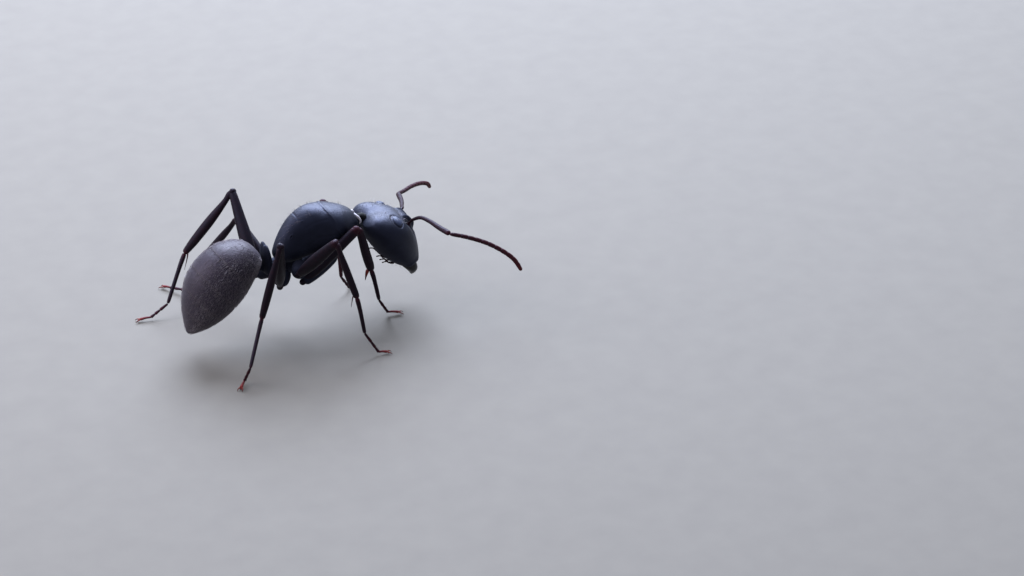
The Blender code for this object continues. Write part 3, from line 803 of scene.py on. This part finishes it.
def leg_joints(name):
    """Root, hip, knee, heel, end of the first foot joint, bend of the foot and toe."""
    root, hip, bearings, rises = LEG_POSES[name]
    joints = [Vector(root), Vector(hip)]
    lengths = LEG_LENGTHS[name.split("_")[1]]
    for number, (length, bearing) in enumerate(zip(lengths, bearings)):
        if number < len(rises):
            rise = radians(rises[number])
        else:
            rise = asin(max(-0.99, (FOOT_LEVEL - joints[-1].z) / length))
        level, turn = length * cos(rise), radians(bearing)
        joints.append(joints[-1] + Vector((level * cos(turn), level * sin(turn),
                                           length * sin(rise))))
    return joints


for name in LEG_POSES:
    pair = name.split("_")[1]
    root, hip, knee, heel, ball, bend, toe = leg_joints(name)
    bend.z, toe.z = BEND_LEVEL, TOE_LEVEL
    plane = (knee - hip).cross(heel - knee).normalized()
    rust = KNEE_RUST[pair]

    # Hip cone.
    cone = bmesh.new()
    deep = root + (root - hip).normalized() * 0.10
    add_limb(cone, [deep, root, hip], ((0, 0.26, 0.26), (0.25, 0.320, 0.320),
                                       (0.6, 0.315, 0.315), (0.9, 0.24, 0.24),
                                       (1, 0.17, 0.17)), 36, 48, hint=plane, tone=0.8)

    # Turning ring and thigh, which ends just past the knee in a rounded cheek.
    thigh = bmesh.new()
    into = (knee - hip).normalized()
    add_limb(thigh, [hip - into * 0.11, hip + into * 0.24],
             ((0, 0.11, 0.11), (0.5, 0.130, 0.130), (1, 0.11, 0.11)), 28, 24, hint=plane,
             tone=lambda t: 0.02 + 0.12 * slope(t, 0.6, 1.0))
    thigh_course = [hip + into * 0.10, knee + into * 0.10]
    add_limb(thigh, thigh_course, THIGH_ROWS[pair], 32, 72, hint=plane.cross(into),
             tone=lambda t: 0.02 + rust * slope(t, 0.88, 0.99) + 0.08 * hill(t, 0.05))
    COMBED.append((thigh_course, THIGH_ROWS[pair], plane.cross(into), 240))

    # Shin, with a cap over the knee and one fine spur at its end.
    down = (heel - knee).normalized()
    upper = plane.cross(down)
    shin = bmesh.new()
    bow = SHIN_BOW[pair] * (down * 0.5 + into).normalized()
    shin_course = [knee + into * 0.02, knee + down * 0.15 + into * 0.05 + bow * 0.55,
                   knee + down * 0.50 + bow, knee.lerp(heel, 0.6) + bow * 0.4,
                   heel + down * 0.03]
    add_limb(shin, shin_course, SHIN_ROWS[pair], 28, 84, hint=upper,
             tone=lambda t: 0.05 + rust * hill(t, 0.07) + 0.30 * slope(t, 0.92, 1.0))
    COMBED.append((shin_course, SHIN_ROWS[pair], upper, 320))
    cap = knee + (into - down).normalized() * 0.05
    fat = SHIN_ROWS[pair][1][2] * 0.95
    add_limb(shin, [cap - plane * KNEE_CAP, cap + plane * KNEE_CAP],
             ((0, fat, fat), (1, fat, fat)), 20, 16, hint=into, tone=0.03 + rust)
    inner = -upper if upper.dot(Vector((0, 0, 1))) > 0 else upper
    spur_root = heel - down * 0.10 + inner * 0.10
    base, reach, redness = SPURS[pair]
    add_limb(shin, [spur_root, spur_root + down * 0.14 + inner * 0.11,
                    spur_root + down * reach + inner * reach * 0.6],
             ((0, base, base), (0.35, base * 0.7, base * 0.7), (1, 0.006, 0.006)), 8, 20,
             hint=plane, tone=lambda t: redness * (1 - 0.6 * t))

    # First foot joint, bowed a little where it leaves the shin.
    long_joint = bmesh.new()
    way = (ball - heel).normalized()
    middle = heel + (ball - heel) * 0.3 - plane.cross(way) * 0.02
    # Painted light: the left front leg's first foot joint is coloured redder, as if the light
    # behind it shone through.
    painted_backlight = 0.30 if name == "left_front" else 0.0      # the light behind shows through it
    add_limb(long_joint, [heel, middle, ball], HEEL_ROWS, 20, 60, hint=plane.cross(way),
             tone=lambda t: 0.06 + painted_backlight + 0.30 * hill(t, 0.08) + 0.12 * slope(t, 0.9, 1))
    COMBED.append(([heel, middle, ball], HEEL_ROWS, plane.cross(way), 200))

    # Three short foot joints, each widening to its end, the last one, and the claws.
    foot = bmesh.new()
    cuts = [ball, ball.lerp(bend, 0.46), ball.lerp(bend, 0.76), bend]
    for here, there in zip(cuts, cuts[1:]):
        add_limb(foot, [here, there + (there - here).normalized() * 0.02],
                 ((0, 0.046, 0.046), (0.4, 0.054, 0.052), (0.85, 0.068, 0.060),
                  (1, 0.054, 0.048)), 14, 24, tone=lambda t: 0.14 + 0.25 * t)
    ahead = (toe - bend).normalized()
    toe = toe - ahead * CLAW_ROOM
    add_limb(foot, [bend, bend.lerp(toe, 0.5) + Vector((0, 0, 0.02)), toe],
             ((0, 0.040, 0.040), (0.5, 0.048, 0.044), (0.9, 0.062, 0.054), (1, 0.05, 0.045)),
             14, 32, tone=lambda t: 0.55 + 0.2 * t)
    beside = ahead.cross(Vector((0, 0, 1))).normalized()
    for out in (-beside, beside):
        hook = [toe - ahead * 0.02 + out * 0.03, toe + ahead * 0.08 + out * 0.08,
                toe + ahead * 0.15 + out * 0.10 - Vector((0, 0, 0.03)),
                toe + ahead * 0.17 + out * 0.09 - Vector((0, 0, TOE_LEVEL - CLAW_TIP))]
        add_limb(foot, hook, ((0, 0.026, 0.026), (0.5, 0.020, 0.020), (1, 0.005, 0.005)),
                 8, 18, tone=lambda t: 0.95 - 0.5 * t)
    add_limb(foot, [toe, toe + ahead * 0.07 - Vector((0, 0, TOE_LEVEL - 0.035))],
             ((0, 0.035, 0.03), (1, 0.045, 0.03)), 12, 12, tone=0.6)

    # Each length is a piece of its own, in place of one CAD length.
    for bm, part, finish, node, slot in (
            (cone, "_hip", black_chitin, "_coxa", "black_cuticle"),
            (thigh, "_thigh", limb_chitin, "_femur", "leg_cuticle"),
            (shin, "_shin", limb_chitin, "_tibia", "leg_cuticle"),
            (long_joint, "_heel_joint", limb_chitin, "_basitarsus", "leg_cuticle"),
            (foot, "_foot", limb_chitin, "_tarsus", "foot_cuticle")):
        piece = make_piece(bm, name + part, finish)
        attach(piece, "root")
        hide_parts(name + node)

# ---- Hairs ---------------------------------------------------------------------------
# Fine hairs grow from pores all over: short down that lies back along each part,
# thickest on the hind body, and a few long bristles that stand off the back.  Chitin too,
# hollow and springy: grey on the body, pale at the rims and nearly black on the legs.
# Hairs are 0.006 thick in life, and the hind body's are drawn 0.010 thick.


def hair_finish(name, dark, light):
    """A hair's chitin, its shade drifting between two colours over the body."""
    finish, tree, shader, where = new_finish(
        name, {"Roughness": 0.65, "Specular IOR Level": 0.3})
    tree.links.new(ramp(tree, noise(tree, where, 0.9), (0, dark), (1, light)),
                   shader.inputs["Base Color"])
    return finish


grey_hair = hair_finish("grey_hair_chitin", "#4d474e", "#8a8084")
pale_hair = hair_finish("pale_hair_chitin", "#7d7880", "#b3adb2")
dark_hair = hair_finish("dark_hair_chitin", "#131116", "#2a262c")
chance = np.random.default_rng(11)
SINK = 0.02               # each hair starts this far under the skin
STEEP = 0.045             # no hair where a ridge or socket moves the skin by more


def comb_hairs(name, finish, roots, outs, lies, spots, lengths, thick, stand):
    """Join one bent three-sided hair per root into one piece of the coat.

    Hairs start between the way out and the way they lie, and bend over to it.  The spots
    are the roots' places on the skin's own unwrap.
    """
    seed = bmesh.new()
    bmesh.ops.create_cone(seed, cap_ends=True, segments=3, radius1=1, radius2=0.6, depth=1)
    top = max(seed.faces, key=lambda face: face.calc_center_median().z)
    tip = bmesh.ops.poke(seed, faces=[top])["verts"][0]
    tip.co.z = 1.5
    seed.verts.index_update()
    shape = np.array([vertex.co for vertex in seed.verts])
    faces = [[vertex.index for vertex in face.verts] for face in seed.faces]
    seed.free()
    rise = (shape[:, 2] + 0.5) / 2
    begin = outs * stand + lies * (1 - stand)
    begin /= np.linalg.norm(begin, axis=1)[:, None]
    finish_way = outs * stand * 0.35 + lies
    finish_way /= np.linalg.norm(finish_way, axis=1)[:, None]
    beside = np.cross(begin, lies + outs * 0.31 + 0.017)
    beside /= np.linalg.norm(beside, axis=1)[:, None]
    over = np.cross(begin, beside)
    bow = (begin[:, None] * (rise - rise**2 / 2)[:, None]
           + finish_way[:, None] * (rise**2 / 2)[:, None])
    points = (roots - outs * SINK)[:, None] + bow * lengths[:, None, None]
    points += thick * (beside[:, None] * shape[:, 0, None] + over[:, None] * shape[:, 1, None])
    count = len(roots)
    every = [[index + hair * len(shape) for index in face] for hair in range(count)
             for face in faces]
    mesh = bpy.data.meshes.new(name)
    mesh.from_pydata(points.reshape(-1, 3).tolist(), [], every)
    mesh.transform(Matrix.Translation(ZERO * MM) @ Matrix.Scale(MM, 4))
    mesh.materials.append(finish)
    mesh.shade_smooth()
    corner = np.array([index for face in faces for index in face])
    patch = spots[:, None] + shape[None, corner, :2] * 0.0015
    mesh.uv_layers.new(name="OFBake").data.foreach_set("uv", patch.ravel())
    made = bpy.data.objects.new(name, mesh)
    bpy.context.scene.collection.objects.link(made)
    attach(made, "root")


def comb_trunk(name, finish, trunk, station, tilts, length, thick, stand, skin=None):
    """Hairs over one length of the body, at these stations and a range of tilts.

    Where a finished skin is given, with its ridges and hollows, the roots go to it.
    """
    count = len(station)
    angle = np.arcsin(chance.uniform(*tilts, count))
    angle = np.where(chance.random(count) < 0.5, angle, pi - angle)
    roots, out = trunk.skin(station, angle), trunk.normal(station, angle)
    lie = trunk.skin(station + 0.02, angle) - trunk.skin(station - 0.02, angle)
    moved = np.zeros(count)
    if skin:
        bpy.context.view_layer.update()
        for number, root in enumerate(roots):
            spot, way = skin.closest_point_on_mesh((Vector(root) + ZERO) * MM)[1:3]
            moved[number] = (spot / MM - ZERO - Vector(root)).length
            roots[number], out[number] = spot / MM - ZERO, way
    lie /= np.linalg.norm(lie, axis=1)[:, None]
    lie += 0.22 * chance.normal(size=(count, 3))
    lie -= out * np.sum(lie * out, axis=1)[:, None]
    lie /= np.linalg.norm(lie, axis=1)[:, None]
    low, high = trunk.rows[0][0], trunk.rows[-1][0]
    spots = np.column_stack([(angle + pi / 2) / (2 * pi), (station - low) / (high - low)])
    lengths = length * (0.7 + 0.6 * chance.random(count))
    kept = moved < STEEP
    comb_hairs(name, finish, roots[kept], out[kept], lie[kept],
               0.01 + 0.98 * spots[kept], lengths[kept], thick, stand)


some = chance.uniform
comb_trunk("hind_body_down", grey_hair, GASTER, some(-0.26, 3.66, 11000),
           (-1, 1), 0.14, 0.0052, 0.36)
rims = np.concatenate([np.full(40, rear - 0.05) for front, rear in RINGS[:4]])
comb_trunk("hind_body_rim_hairs", pale_hair, GASTER,
           rims + chance.normal(0, 0.03, len(rims)), (0.35, 1), 0.11, 0.0045, 0.30)
comb_trunk("hind_body_bristles", pale_hair, GASTER, some(0, 3.4, 70),
           (0.2, 1), 0.20, 0.005, 0.62)
comb_trunk("middle_body_down", dark_hair, THORAX, some(0.15, 3.4, 2000),
           (-0.2, 1), 0.06, 0.003, 0.22, middle_body)
comb_trunk("middle_body_bristles", grey_hair, THORAX, some(0.25, 3.2, 90),
           (0.80, 1), 0.24, 0.005, 0.80, middle_body)
comb_trunk("head_down", dark_hair, HEAD, some(0.15, 2.85, 2400),
           (-0.5, 1), 0.06, 0.003, 0.22, capsule)
comb_trunk("head_bristles", pale_hair, HEAD, some(0.05, 1.2, 80),
           (0.72, 1), 0.24, 0.0045, 0.80, capsule)
comb_trunk("chin_bristles", dark_hair, HEAD, some(0.9, 2.8, 30),
           (-1, -0.85), 0.26, 0.007, 0.85, capsule)

# Legs and feelers: each limb kept from above gives its own skin.
roots, outs, lies, spots = [], [], [], []
for number, (course, rows, hint, count) in enumerate(COMBED):
    share, angle = 0.04 + 0.90 * chance.random(count), 2 * pi * chance.random(count)
    root, out, ahead = limb_skin(course, rows, hint, share, angle)
    roots.append(root)
    outs.append(out)
    lies.append(ahead)
    spots.append(np.column_stack([(number + 0.1 + 0.8 * angle / (2 * pi)) / len(COMBED),
                                  0.01 + 0.98 * share]))
roots, outs, lies, spots = [np.concatenate(part) for part in (roots, outs, lies, spots)]
comb_hairs("limb_down", dark_hair, roots, outs, lies, spots,
           0.055 + 0.05 * chance.random(len(roots)), 0.004, 0.38)
